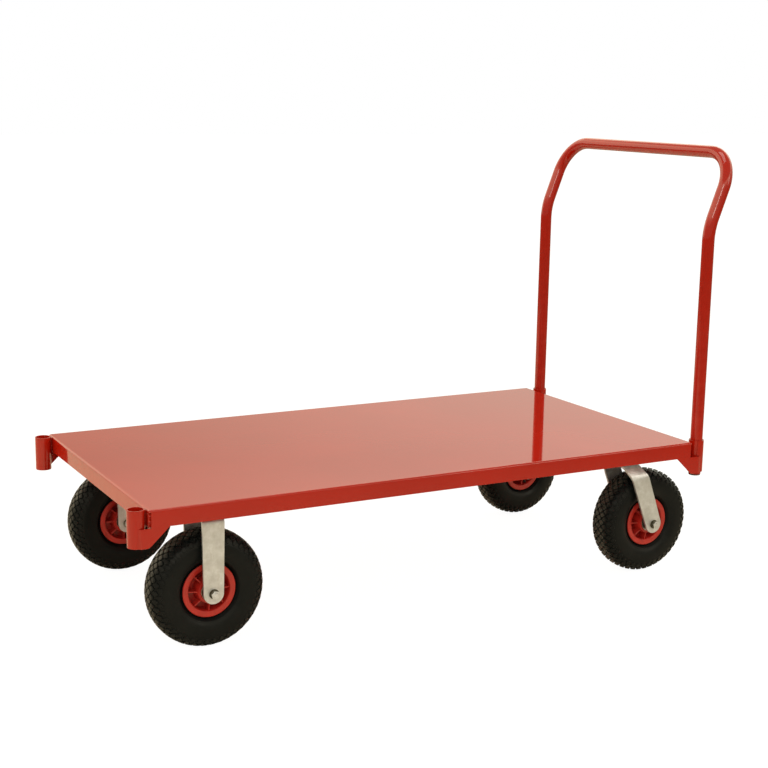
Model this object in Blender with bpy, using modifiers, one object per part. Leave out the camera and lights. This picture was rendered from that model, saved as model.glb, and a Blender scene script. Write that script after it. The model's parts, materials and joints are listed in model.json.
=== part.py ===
"""Platform trolley: a folded steel deck on two fixed and two swivel pneumatic casters, with a push handle.

Metres, +Z up, the floor at z = 0. +X points to the rear, where the handle stands, and -Y is the left
side for the person who pushes. The origin is on the floor under the centre of the whole trolley.
"""
import math

import bmesh
import bpy
from mathutils import Matrix, Vector

# ---- driving dimensions -------------------------------------------------------------------------
GAP = 0.0003                  # clearance kept between pieces that touch

DECK_LENGTH = 1.400
DECK_WIDTH = 0.735
DECK_TOP = 0.338              # height of the load surface
SHEET = 0.002                 # deck sheet
RIM_DROP = 0.038              # folded rim, measured from the load surface
RIM_NOTCH = 0.004             # open corner between the end rim and the side rim
EAR_DROP = 0.080              # the side rim's ear reaches this far below the load surface
EAR_RUN = 0.045               # the ear's diagonal starts this far in from the deck's end
EAR_TOE_IN = 0.002            # the ear bends inwards this much between the deck's end and its socket

SOCKET_OUTER_R = 0.0185
SOCKET_INNER_R = 0.0155
SOCKET_OVERHANG = {"front": 0.0205, "rear": 0.0300}  # socket axis beyond the deck's end
SOCKET_INSET = SHEET + GAP + EAR_TOE_IN + SOCKET_OUTER_R
SOCKET_BOTTOM = DECK_TOP - EAR_DROP

HANDLE_R = 0.015
HANDLE_WALL = 0.002
HANDLE_STICK_OUT = 0.006      # the legs end this far below their sockets
HANDLE_BEND_Z = 0.859         # where the legs start to lean back
HANDLE_LEAN = math.radians(21.0)
HANDLE_TOP_RUN = 0.193        # length of the leaning stretch, up to the crossbar's axis
HANDLE_BEND_R = 0.165
HANDLE_CORNER_R = 0.088
PLUG_HEAD = 0.003
PLUG_STUB = 0.014

CLAMP_SCREW_R = 0.004
CLAMP_HEAD_R = 0.0075
CLAMP_HEAD_LENGTH = 0.0055
CLAMP_Z = DECK_TOP - 0.030
CLAMP_HOLE_START = 0.005      # from the socket's axis

CHANNEL_BOTTOM = 0.300        # underside of the cross channels, where the caster plates bolt on
CHANNEL_SHEET = 0.003
CASTER_CHANNEL_WIDTH = 0.150
STIFFENER_WIDTH = 0.060
STIFFENER_BOTTOM = 0.308
STIFFENER_X = (-0.190, 0.190)  # from the deck's centre

PLATE_LENGTH = 0.135          # caster mounting plates, along X
PLATE_WIDTH = 0.110
PLATE_THICKNESS = 0.004
PLATE_CORNER_R = 0.012
BOLT_SPACING_X = 0.105
BOLT_SPACING_Y = 0.080
BOLT_HOLE_R = 0.0055

WHEEL_R = 0.130
TYRE_HALF_WIDTH = 0.040
TYRE_WIDEST_R = 0.094         # radius where the sidewalls stand out furthest
TREAD_HALF_WIDTH = 0.024      # the flat middle of the tread
SHOULDER_HALF_WIDTH = 0.036
SHOULDER_DROP = 0.007
CAVITY_RING_R = 0.092         # centre line of the hollow that holds the inner tube
CAVITY_RISE = 0.028
CAVITY_HALF_WIDTH = 0.031
TUBE_RING_R = 0.090
TUBE_RISE = 0.0225
TUBE_HALF_WIDTH = 0.024
TUBE_WALL = 0.002
VALVE_BORE_R = 0.003
VALVE_REACH = 0.075           # the valve's bore ends inside the tube
RIM_HALF_WIDTH = 0.031
RIM_WELL_R = 0.0465           # inside of the rim's outer ring
RIM_WEB_HALF = 0.005          # half thickness of the rim's disc
RIM_FLANGE_R = 0.060
RIM_FLANGE_LIP = 0.003
BEAD_R = 0.051
BEAD_GAP = 0.0015
HUB_HALF_WIDTH = 0.0375
HUB_OUTER_R = 0.0275
BEARING_R = 0.021
BEARING_WIDTH = 0.012
SLEEVE_R = 0.010
SLEEVE_BORE_R = 0.0065
AXLE_BOLT_R = 0.006
NUT_R = 0.0110                # across the corners of the axle nut and the bolt's head
NUT_THICKNESS = 0.0095
BOLT_HEAD_HEIGHT = 0.0075
THREAD_STICK_OUT = 0.003

FORK_THICKNESS = 0.005
FORK_WIDTH = 0.050
FORK_INNER_HALF = 0.052       # from the wheel's middle plane to a leg's inner face
FORK_BOLT_HOLE_R = 0.0067
SHOULDER_Z = 0.255            # the swivel fork's legs turn inwards here
CROWN_HALF = 0.036            # half width of the swivel fork's flat crown
RAKE_RUN = 0.048              # the swivel fork's legs lean forward this much from the axle to the shoulder

FIXED_WHEEL_X = -0.550        # from the deck's centre
FIXED_WHEEL_Y = 0.283
SWIVEL_X = 0.548              # swivel axis, from the deck's centre
SWIVEL_Y = 0.278
TRAIL = 0.070                 # swivel axis to wheel axle
CASTER_TURN = {"left": math.radians(2.0), "right": math.radians(5.0)}

RACE_R = 0.036
RACE_BORE_R = 0.014
RACE_HEIGHT = 0.009
KINGPIN_R = 0.008
KINGPIN_NUT_R = 0.0135
KINGPIN_NUT_HEIGHT = 0.008

# ---- derived positions --------------------------------------------------------------------------
HANDLE_TOP_REACH = HANDLE_TOP_RUN * math.sin(HANDLE_LEAN)
SOCKET_X = {end: DECK_LENGTH / 2 + overhang for end, overhang in SOCKET_OVERHANG.items()}
FRONT_REACH = SOCKET_X["front"] + SOCKET_OUTER_R
REAR_REACH = SOCKET_X["rear"] + HANDLE_TOP_REACH + HANDLE_R
DECK_X = (FRONT_REACH - REAR_REACH) / 2
HANDLE_X = DECK_X + SOCKET_X["rear"]
SOCKET_Y = DECK_WIDTH / 2 - SOCKET_INSET
PLATE_TOP = CHANNEL_BOTTOM - GAP
PLATE_BOTTOM = PLATE_TOP - PLATE_THICKNESS
RACE_TOP = PLATE_BOTTOM - GAP
CROWN_TOP = RACE_TOP - RACE_HEIGHT - GAP
LEG_OUTER_HALF = FORK_INNER_HALF + FORK_THICKNESS
ENDS = (("front", -1), ("rear", 1))
SIDES = (("left", -1), ("right", 1))
CUT_MARGIN = 0.01             # a cutter reaches this far past what it cuts

TYRE_STEPS = 32
RIM_STEPS = 24
SMALL_STEPS = 18
PIN_STEPS = 16
HOLE_STEPS = 10


# ---- scene, materials, collections --------------------------------------------------------------
def clear_scene():
    for obj in list(bpy.data.objects):
        bpy.data.objects.remove(obj)


def new_collection(name):
    group = bpy.data.collections.new(name)
    bpy.context.scene.collection.children.link(group)
    return group


def new_material(name, color, roughness, metallic=0.0):
    material = bpy.data.materials.new(name)
    material.use_nodes = True
    shader = material.node_tree.nodes["Principled BSDF"]
    shader.inputs["Base Color"].default_value = (*color, 1.0)
    shader.inputs["Roughness"].default_value = roughness
    shader.inputs["Metallic"].default_value = metallic
    return material


clear_scene()
TROLLEY = new_collection("platform_trolley")
CUTTERS = new_collection("cutters")
RED_PAINT = new_material("red_paint", (0.42, 0.015, 0.008), 0.22)
RED_PLASTIC = new_material("red_plastic", (0.40, 0.012, 0.012), 0.38)
TYRE_RUBBER = new_material("tyre_rubber", (0.014, 0.013, 0.012), 0.75)
TUBE_RUBBER = new_material("tube_rubber", (0.02, 0.02, 0.02), 0.60)
ZINC = new_material("zinc_plate", (0.50, 0.48, 0.42), 0.40, 0.85)
BEARING_STEEL = new_material("bearing_steel", (0.55, 0.55, 0.55), 0.25, 1.0)
BLACK_PLASTIC = new_material("black_plastic", (0.02, 0.02, 0.02), 0.55)


# ---- helpers ------------------------------------------------------------------------------------
def add_object(name, data, material=None, parent=None):
    obj = bpy.data.objects.new(name, data)
    TROLLEY.objects.link(obj)
    if material:
        data.materials.append(material)
    if parent:
        obj.parent = parent
    return obj


def add_empty(name, location, turn=0.0, parent=None):
    empty = add_object(name, None, parent=parent)
    empty.location = location
    empty.rotation_euler = (0.0, 0.0, turn)
    return empty


def cylinder_mesh(name, radius, start, end, steps):
    """A closed cylinder between two points."""
    start, end = Vector(start), Vector(end)
    along = end - start
    turn = along.to_track_quat("Z", "Y").to_matrix().to_4x4()
    bm = bmesh.new()
    bmesh.ops.create_cone(bm, cap_ends=True, segments=steps, radius1=radius, radius2=radius,
                          depth=along.length)
    bmesh.ops.transform(bm, matrix=Matrix.Translation((start + end) / 2) @ turn, verts=bm.verts)
    mesh = bpy.data.meshes.new(name)
    bm.to_mesh(mesh)
    bm.free()
    return mesh


def cut(target, name, mesh):
    """Subtract a cutter mesh, given in the target's own space."""
    cutter = bpy.data.objects.new(name, mesh)
    CUTTERS.objects.link(cutter)
    cutter.parent = target
    cutter.hide_render = True
    cutter.display_type = "WIRE"
    modifier = target.modifiers.new(name, "BOOLEAN")
    modifier.operation = "DIFFERENCE"
    modifier.object = cutter


def turned(name, profile, steps, material, parent=None, closed=True):
    """Turn a profile of (radius, height) points round the object's Z axis.

    The points run down the outer side. A closed profile is a ring; an open one ends on the axis.
    """
    mesh = bpy.data.meshes.new(name)
    points = [(radius, 0.0, height) for radius, height in profile]
    edges = [(i, i + 1) for i in range(len(points) - 1)]
    if closed:
        edges.append((len(points) - 1, 0))
    mesh.from_pydata(points, edges, [])
    obj = add_object(name, mesh, material, parent)
    screw = obj.modifiers.new("turn", "SCREW")
    screw.steps = steps
    screw.render_steps = steps
    screw.use_merge_vertices = True
    screw.merge_threshold = 0.00005
    screw.use_smooth_shade = True
    return obj


def tube_profile(inner, outer, low, high):
    return [(outer, high), (outer, low), (inner, low), (inner, high)]


def headed_profile(head_r, head_length, shank_r, shank_length):
    """A head whose top is at height head_length, with its shank below height 0."""
    return [(0.0, head_length), (head_r, head_length), (head_r, 0.0), (shank_r, 0.0),
            (shank_r, -shank_length), (0.0, -shank_length)]


def lay_along_y(obj, y=0.0, flip=False):
    """Turn an object's Z axis to +Y, or to -Y with flip, and move it along Y."""
    obj.rotation_euler = (math.radians(90.0 if flip else -90.0), 0.0, 0.0)
    obj.location = (0.0, y, 0.0)


def solidify(obj, thickness, offset):
    modifier = obj.modifiers.new("sheet", "SOLIDIFY")
    modifier.thickness = thickness
    modifier.offset = offset
    modifier.solidify_mode = "NON_MANIFOLD"
    modifier.nonmanifold_thickness_mode = "CONSTRAINTS"
    modifier.nonmanifold_merge_threshold = 0.00001


# ---- deck ---------------------------------------------------------------------------------------
def make_deck():
    """One folded sheet: top, end rims and side rims, whose ears reach out to the corner sockets."""
    half_x, half_y = DECK_LENGTH / 2, DECK_WIDTH / 2
    notch_y = half_y - RIM_NOTCH
    rim_z, ear_z = DECK_TOP - RIM_DROP, SOCKET_BOTTOM
    slot_z = rim_z - SHEET
    bm = bmesh.new()

    def vert(x, y, z):
        return bm.verts.new((DECK_X + x, y, z))

    corner = {(sx, sy): vert(sx * half_x, sy * half_y, DECK_TOP) for sx in (-1, 1) for sy in (-1, 1)}
    notch = {(sx, sy): vert(sx * half_x, sy * notch_y, DECK_TOP) for sx in (-1, 1) for sy in (-1, 1)}
    bm.faces.new((corner[-1, -1], corner[1, -1], notch[1, -1], notch[1, 1],
                  corner[1, 1], corner[-1, 1], notch[-1, 1], notch[-1, -1]))
    for sx in (-1, 1):
        low = {sy: vert(sx * half_x, sy * notch_y, rim_z) for sy in (-1, 1)}
        bm.faces.new((notch[sx, -1], notch[sx, 1], low[1], low[-1]))
    for sy in (-1, 1):
        outline = []
        for end, sx in ENDS:
            ear = [(half_x, slot_z), (half_x, ear_z), (half_x - EAR_RUN, rim_z)]
            ring = [corner[sx, sy]] + [vert(sx * x, sy * half_y, z) for x, z in ear]
            outline += ring if sx == -1 else ring[::-1]
            tip = [vert(sx * SOCKET_X[end], sy * (half_y - EAR_TOE_IN), z) for z in (ear_z, slot_z)]
            bm.faces.new((ring[1], ring[2], *tip))
        bm.faces.new(outline)
    bmesh.ops.recalc_face_normals(bm, faces=bm.faces)
    if max(bm.faces, key=lambda face: face.calc_area()).normal.z < 0:
        bmesh.ops.reverse_faces(bm, faces=bm.faces)
    mesh = bpy.data.meshes.new("deck_plate")
    bm.to_mesh(mesh)
    bm.free()
    deck = add_object("deck_plate", mesh, RED_PAINT)
    solidify(deck, SHEET, -1.0)


def make_sockets():
    for end, sx in ENDS:
        for side, sy in SIDES:
            profile = tube_profile(SOCKET_INNER_R, SOCKET_OUTER_R, SOCKET_BOTTOM, DECK_TOP)
            socket = turned(f"corner_socket_{end}_{side}", profile, SMALL_STEPS, RED_PAINT)
            socket.location = (DECK_X + sx * SOCKET_X[end], sy * SOCKET_Y, 0.0)
            if end == "rear":
                start = (0.0, -sy * CLAMP_HOLE_START, CLAMP_Z)
                end_point = (0.0, -sy * (SOCKET_OUTER_R + CUT_MARGIN), CLAMP_Z)
                hole = cylinder_mesh(f"clamp_hole_{side}", CLAMP_SCREW_R + GAP, start, end_point, PIN_STEPS)
                cut(socket, f"clamp_hole_{side}", hole)


def make_clamp_screws():
    """A screw in the inboard side of each rear socket, which grips the handle's leg."""
    shank = SOCKET_OUTER_R - HANDLE_R
    profile = headed_profile(CLAMP_HEAD_R, CLAMP_HEAD_LENGTH, CLAMP_SCREW_R, shank)
    for side, sy in SIDES:
        screw = turned(f"handle_clamp_screw_{side}", profile, PIN_STEPS, ZINC, closed=False)
        screw.rotation_euler = (math.radians(90.0 * sy), 0.0, 0.0)
        screw.location = (HANDLE_X, sy * (SOCKET_Y - SOCKET_OUTER_R - 2 * GAP), CLAMP_Z)


def make_channel(name, centre_x, width, bottom, sheet, holes=()):
    """A U-shaped cross channel, open towards the deck sheet that it is welded under."""
    top = DECK_TOP - SHEET - GAP
    half_y = DECK_WIDTH / 2 - SHEET - GAP
    low_x, high_x = centre_x - width / 2, centre_x + width / 2
    section = [(low_x, top), (low_x, bottom), (high_x, bottom), (high_x, top)]
    bm = bmesh.new()
    rows = [[bm.verts.new((DECK_X + x, y, z)) for x, z in section] for y in (-half_y, half_y)]
    for i in range(len(section) - 1):
        bm.faces.new((rows[0][i], rows[0][i + 1], rows[1][i + 1], rows[1][i]))
    mesh = bpy.data.meshes.new(name)
    bm.to_mesh(mesh)
    bm.free()
    channel = add_object(name, mesh, RED_PAINT)
    solidify(channel, sheet, 1.0)
    for x, y in holes:
        number = len(channel.modifiers)
        hole = cylinder_mesh(f"{name}_hole_{number}", BOLT_HOLE_R, (DECK_X + x, y, bottom - CUT_MARGIN),
                             (DECK_X + x, y, bottom + CUT_MARGIN), HOLE_STEPS)
        cut(channel, f"{name}_hole_{number}", hole)


def bolt_places(centre_x, centre_y):
    return [(centre_x + sx * BOLT_SPACING_X / 2, centre_y + sy * BOLT_SPACING_Y / 2)
            for sx in (-1, 1) for sy in (-1, 1)]


def make_channels():
    for end, x, y in (("front", FIXED_WHEEL_X, FIXED_WHEEL_Y), ("rear", SWIVEL_X, SWIVEL_Y)):
        holes = bolt_places(x, -y) + bolt_places(x, y)
        make_channel(f"cross_channel_{end}", x, CASTER_CHANNEL_WIDTH, CHANNEL_BOTTOM, CHANNEL_SHEET, holes)
    for number, x in enumerate(STIFFENER_X, start=1):
        make_channel(f"deck_stiffener_{number}", x, STIFFENER_WIDTH, STIFFENER_BOTTOM, SHEET)


# ---- push handle --------------------------------------------------------------------------------
def rounded_path(corners, radii, steps):
    """A polyline through 3-D corners, with an arc of the given radius at each inner corner."""
    path = [Vector(corners[0])]
    for before, corner, after, radius, count in zip(corners, corners[1:], corners[2:], radii, steps):
        corner = Vector(corner)
        back = (Vector(before) - corner).normalized()
        ahead = (Vector(after) - corner).normalized()
        half = back.angle(ahead) / 2
        centre = corner + (back + ahead).normalized() * radius / math.sin(half)
        start = (corner + back * radius / math.tan(half) - centre).normalized()
        end = (corner + ahead * radius / math.tan(half) - centre).normalized()
        path += [centre + start.slerp(end, i / count) * radius for i in range(count + 1)]
    path.append(Vector(corners[-1]))
    return path


def make_handle():
    top_x = HANDLE_X + HANDLE_TOP_REACH
    top_z = HANDLE_BEND_Z + HANDLE_TOP_RUN * math.cos(HANDLE_LEAN)
    foot_z = SOCKET_BOTTOM - HANDLE_STICK_OUT
    left = [(HANDLE_X, -SOCKET_Y, foot_z), (HANDLE_X, -SOCKET_Y, HANDLE_BEND_Z), (top_x, -SOCKET_Y, top_z)]
    right = [(x, -y, z) for x, y, z in reversed(left)]
    radii = (HANDLE_BEND_R, HANDLE_CORNER_R, HANDLE_CORNER_R, HANDLE_BEND_R)
    path = rounded_path(left + right, radii, (4, 7, 7, 4))
    curve = bpy.data.curves.new("push_handle", "CURVE")
    curve.dimensions = "3D"
    spline = curve.splines.new("POLY")
    spline.points.add(len(path) - 1)
    for point, place in zip(spline.points, path):
        point.co = (*place, 1.0)
    curve.bevel_depth = HANDLE_R
    curve.bevel_resolution = 4
    handle = add_object("push_handle", curve, RED_PAINT)
    solidify(handle, HANDLE_WALL, -1.0)


def make_plugs():
    profile = headed_profile(HANDLE_R, PLUG_HEAD, HANDLE_R - HANDLE_WALL - 2 * GAP, PLUG_STUB)
    foot_z = SOCKET_BOTTOM - HANDLE_STICK_OUT - GAP
    for side, sy in SIDES:
        plug = turned(f"handle_plug_{side}", profile, PIN_STEPS, BLACK_PLASTIC, closed=False)
        plug.rotation_euler = (math.radians(180.0), 0.0, 0.0)
        plug.location = (HANDLE_X, sy * SOCKET_Y, foot_z)


# ---- casters ------------------------------------------------------------------------------------
def make_plate(name, parent, pin_hole):
    """A caster's mounting plate, with its four bolt holes and a hole for the kingpin on a swivel one."""
    half_x, half_y = PLATE_LENGTH / 2, PLATE_WIDTH / 2
    outline = []
    for i, (sx, sy) in enumerate(((1, 1), (-1, 1), (-1, -1), (1, -1))):
        for step in range(4):
            angle = math.radians(90.0 * i + 30.0 * step)
            x = sx * (half_x - PLATE_CORNER_R) + PLATE_CORNER_R * math.cos(angle)
            y = sy * (half_y - PLATE_CORNER_R) + PLATE_CORNER_R * math.sin(angle)
            outline.append((x, y, PLATE_BOTTOM))
    bm = bmesh.new()
    face = bm.faces.new([bm.verts.new(point) for point in outline])
    grown = bmesh.ops.extrude_face_region(bm, geom=[face])["geom"]
    top = [item for item in grown if isinstance(item, bmesh.types.BMVert)]
    bmesh.ops.translate(bm, vec=(0.0, 0.0, PLATE_THICKNESS), verts=top)
    bmesh.ops.recalc_face_normals(bm, faces=bm.faces)
    mesh = bpy.data.meshes.new(name)
    bm.to_mesh(mesh)
    bm.free()
    plate = add_object(name, mesh, ZINC, parent)
    holes = [(x, y, BOLT_HOLE_R, HOLE_STEPS) for x, y in bolt_places(0.0, 0.0)]
    if pin_hole:
        holes.append((0.0, 0.0, KINGPIN_R + GAP, PIN_STEPS))
    for number, (x, y, radius, steps) in enumerate(holes):
        hole = cylinder_mesh(f"{name}_hole_{number}", radius, (x, y, PLATE_BOTTOM - CUT_MARGIN),
                             (x, y, PLATE_TOP + CUT_MARGIN), steps)
        cut(plate, f"{name}_hole_{number}", hole)


def leg_outline(rake_run, top_z):
    """A fork leg's outline in X and Z round the axle: a round foot, and edges that lean to top_z."""
    rise = top_z - WHEEL_R
    lean = math.atan2(rake_run, rise)
    foot = []
    for step in range(9):
        angle = lean + math.pi + math.pi * step / 8
        foot.append((FORK_WIDTH / 2 * math.cos(angle), WHEEL_R + FORK_WIDTH / 2 * math.sin(angle)))
    half_top = FORK_WIDTH / 2 / math.cos(lean)
    return foot, (-rake_run - half_top, top_z), (-rake_run + half_top, top_z)


def make_fork(name, parent, rake_run, leg_top, crown_z, crown_half, pin_x=None):
    """A fork bent from strip: two legs with round feet, shoulders and a flat crown.

    It is drawn as the strip's outer surface, with the axle at its parent's x = y = 0, and thickened inwards.
    """
    foot, top_front, top_rear = leg_outline(rake_run, leg_top)
    bm = bmesh.new()

    def vert(point, y):
        return bm.verts.new((point[0], y, point[1]))

    crown_shift = -rake_run * (crown_z - WHEEL_R) / (leg_top - WHEEL_R) + rake_run
    edges = {}
    for sy in (-1, 1):
        front, rear = vert(top_front, sy * LEG_OUTER_HALF), vert(top_rear, sy * LEG_OUTER_HALF)
        bm.faces.new([front] + [vert(point, sy * LEG_OUTER_HALF) for point in foot] + [rear])
        if crown_half < LEG_OUTER_HALF:
            high_front = vert((top_front[0] + crown_shift, crown_z), sy * crown_half)
            high_rear = vert((top_rear[0] + crown_shift, crown_z), sy * crown_half)
            bm.faces.new((front, rear, high_rear, high_front))
            front, rear = high_front, high_rear
        edges[sy] = (front, rear)
    bm.faces.new((edges[-1][0], edges[-1][1], edges[1][1], edges[1][0]))
    bmesh.ops.recalc_face_normals(bm, faces=bm.faces)
    crown = max(bm.faces, key=lambda face: face.calc_center_median().z)
    if crown.normal.z < 0:
        bmesh.ops.reverse_faces(bm, faces=bm.faces)
    mesh = bpy.data.meshes.new(name)
    bm.to_mesh(mesh)
    bm.free()
    fork = add_object(name, mesh, ZINC, parent)
    solidify(fork, FORK_THICKNESS, -1.0)
    reach = LEG_OUTER_HALF + CUT_MARGIN
    axle_hole = cylinder_mesh(f"{name}_axle_hole", FORK_BOLT_HOLE_R, (0.0, -reach, WHEEL_R),
                              (0.0, reach, WHEEL_R), PIN_STEPS)
    cut(fork, f"{name}_axle_hole", axle_hole)
    if pin_x is not None:
        low, high = crown_z - FORK_THICKNESS - CUT_MARGIN, crown_z + CUT_MARGIN
        pin_hole = cylinder_mesh(f"{name}_pin_hole", KINGPIN_R + 2 * GAP, (pin_x, 0.0, low),
                                 (pin_x, 0.0, high), PIN_STEPS)
        cut(fork, f"{name}_pin_hole", pin_hole)


def make_axle(tag, parent):
    """The axle bolt, its nut and the sleeve that the bearings' inner rings sit on."""
    axle = add_empty(f"axle_{tag}", (0.0, 0.0, WHEEL_R), parent=parent)
    sleeve_half = FORK_INNER_HALF - GAP
    sleeve = turned(f"axle_sleeve_{tag}", tube_profile(SLEEVE_BORE_R, SLEEVE_R, -sleeve_half, sleeve_half),
                    PIN_STEPS, ZINC, axle)
    lay_along_y(sleeve)
    seat = LEG_OUTER_HALF + GAP
    shank = 2 * seat + NUT_THICKNESS + THREAD_STICK_OUT
    bolt = turned(f"axle_bolt_{tag}", headed_profile(NUT_R, BOLT_HEAD_HEIGHT, AXLE_BOLT_R, shank), PIN_STEPS,
                  ZINC, axle, closed=False)
    outboard = -1 if tag.endswith("left") else 1
    lay_along_y(bolt, -outboard * seat, flip=outboard > 0)
    hexagon = cylinder_mesh(f"axle_nut_{tag}", NUT_R, (0.0, 0.0, 0.0), (0.0, 0.0, NUT_THICKNESS), 6)
    nut = add_object(f"axle_nut_{tag}", hexagon, ZINC, axle)
    lay_along_y(nut, outboard * seat, flip=outboard < 0)
    bore = cylinder_mesh(f"nut_bore_{tag}", AXLE_BOLT_R + GAP, (0.0, 0.0, -CUT_MARGIN),
                         (0.0, 0.0, NUT_THICKNESS + CUT_MARGIN), PIN_STEPS)
    cut(nut, f"nut_bore_{tag}", bore)


def half_circle(centre_r, radius_r, radius_y, start, end, count):
    """Points (radius, height) of an elliptic arc from angle start to end, in degrees."""
    angles = [math.radians(start + (end - start) * i / (count - 1)) for i in range(count)]
    return [(centre_r + radius_r * math.cos(a), radius_y * math.sin(a)) for a in angles]


def tyre_profile():
    """Tread, sidewalls and beads outside; inside, the cavity that holds the inner tube."""
    shoulder_r = WHEEL_R - SHOULDER_DROP
    bead_r = BEAD_R + BEAD_GAP
    outside = [(shoulder_r, SHOULDER_HALF_WIDTH), (WHEEL_R, TREAD_HALF_WIDTH),
               (WHEEL_R, -TREAD_HALF_WIDTH), (shoulder_r, -SHOULDER_HALF_WIDTH)]
    lower_side = [(TYRE_WIDEST_R, -TYRE_HALF_WIDTH), (RIM_FLANGE_R + 0.0035, -0.0300),
                  (RIM_FLANGE_R + 0.0007, -0.0276), (bead_r, -0.0252), (bead_r, -0.0190)]
    cavity = half_circle(CAVITY_RING_R, CAVITY_RISE, CAVITY_HALF_WIDTH, -125.0, 125.0, 5)
    upper_side = [(r, -y) for r, y in reversed(lower_side)]
    return outside + lower_side + cavity + upper_side


def make_inner_tube(tag, parent):
    """A hollow rubber ring inside the tyre, with its valve stem bored through."""
    sides = 6
    ring = [math.radians(90.0 - 360.0 * i / sides) for i in range(sides)]
    outside = [(TUBE_RING_R + TUBE_RISE * math.cos(a), TUBE_HALF_WIDTH * math.sin(a)) for a in ring]
    tube = turned(f"inner_tube_{tag}", outside, RIM_STEPS, TUBE_RUBBER, parent)
    solidify(tube, TUBE_WALL, -1.0)
    valve = cylinder_mesh(f"valve_{tag}", VALVE_BORE_R, (0.0, 0.0, 0.0), (VALVE_REACH, 0.0, 0.0), HOLE_STEPS)
    cut(tube, f"valve_{tag}", valve)
    lay_along_y(tube)


def rim_profile():
    """Both flanges, the well between them, the disc and the hub, which is bored for the bearings."""
    lip = RIM_HALF_WIDTH - RIM_FLANGE_LIP
    upper = [(BEAD_R, lip - 0.002), (RIM_FLANGE_R, lip), (RIM_FLANGE_R, RIM_HALF_WIDTH),
             (RIM_WELL_R, RIM_HALF_WIDTH), (RIM_WELL_R, RIM_WEB_HALF), (HUB_OUTER_R, RIM_WEB_HALF + 0.002),
             (HUB_OUTER_R, HUB_HALF_WIDTH), (BEARING_R + GAP, HUB_HALF_WIDTH)]
    lower = [(r, -y) for r, y in reversed(upper)]
    return list(reversed(lower + upper))


def make_wheel(tag, parent):
    wheel = add_empty(f"wheel_{tag}", (0.0, 0.0, WHEEL_R), parent=parent)
    tyre = turned(f"tyre_{tag}", tyre_profile(), TYRE_STEPS, TYRE_RUBBER, wheel)
    lay_along_y(tyre)
    make_inner_tube(tag, wheel)
    rim = turned(f"rim_{tag}", rim_profile(), RIM_STEPS, RED_PLASTIC, wheel)
    lay_along_y(rim)
    outboard = -1 if tag.endswith("left") else 1
    high = HUB_HALF_WIDTH - GAP
    profile = tube_profile(SLEEVE_R + 2 * GAP, BEARING_R, high - BEARING_WIDTH, high)
    for place, flip in (("outer", outboard < 0), ("inner", outboard > 0)):
        bearing = turned(f"bearing_{place}_{tag}", profile, SMALL_STEPS, BEARING_STEEL, wheel)
        lay_along_y(bearing, flip=flip)


def make_fixed_caster(side, sy):
    tag = f"front_{side}"
    base = add_empty(f"caster_{tag}", (DECK_X + FIXED_WHEEL_X, sy * FIXED_WHEEL_Y, 0.0))
    make_plate(f"caster_plate_{tag}", base, pin_hole=False)
    crown_z = PLATE_BOTTOM - GAP
    make_fork(f"fork_{tag}", base, 0.0, crown_z, crown_z, LEG_OUTER_HALF)
    make_axle(tag, base)
    make_wheel(tag, base)


def make_swivel_caster(side, sy):
    tag = f"rear_{side}"
    base = add_empty(f"caster_{tag}", (DECK_X + SWIVEL_X, sy * SWIVEL_Y, 0.0))
    make_plate(f"caster_plate_{tag}", base, pin_hole=True)
    turned(f"ball_race_{tag}", tube_profile(RACE_BORE_R, RACE_R, RACE_TOP - RACE_HEIGHT, RACE_TOP),
           RIM_STEPS, ZINC, base)
    make_kingpin(tag, base)
    swivel = add_empty(f"swivel_{tag}", (0.0, 0.0, 0.0), CASTER_TURN[side], base)
    wheel_base = add_empty(f"trail_{tag}", (TRAIL, 0.0, 0.0), parent=swivel)
    make_fork(f"fork_{tag}", wheel_base, RAKE_RUN, SHOULDER_Z, CROWN_TOP, CROWN_HALF, pin_x=-TRAIL)
    make_axle(tag, wheel_base)
    make_wheel(tag, wheel_base)


def make_kingpin(tag, parent):
    """A pin riveted flush in the plate, through the race and the fork's crown, with its nut below."""
    head_top = PLATE_TOP - GAP
    nut_top = CROWN_TOP - FORK_THICKNESS - GAP
    profile = [(0.0, head_top), (KINGPIN_R, head_top), (KINGPIN_R, nut_top), (KINGPIN_NUT_R, nut_top),
               (KINGPIN_NUT_R, nut_top - KINGPIN_NUT_HEIGHT), (0.0, nut_top - KINGPIN_NUT_HEIGHT)]
    turned(f"kingpin_{tag}", profile, PIN_STEPS, ZINC, parent, closed=False)


make_deck()
make_sockets()
make_clamp_screws()
make_channels()
make_handle()
make_plugs()
for side_name, side_sign in SIDES:
    make_fixed_caster(side_name, side_sign)
    make_swivel_caster(side_name, side_sign)
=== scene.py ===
import json
import math

import bmesh
import bpy
from mathutils import Matrix, Vector


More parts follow.
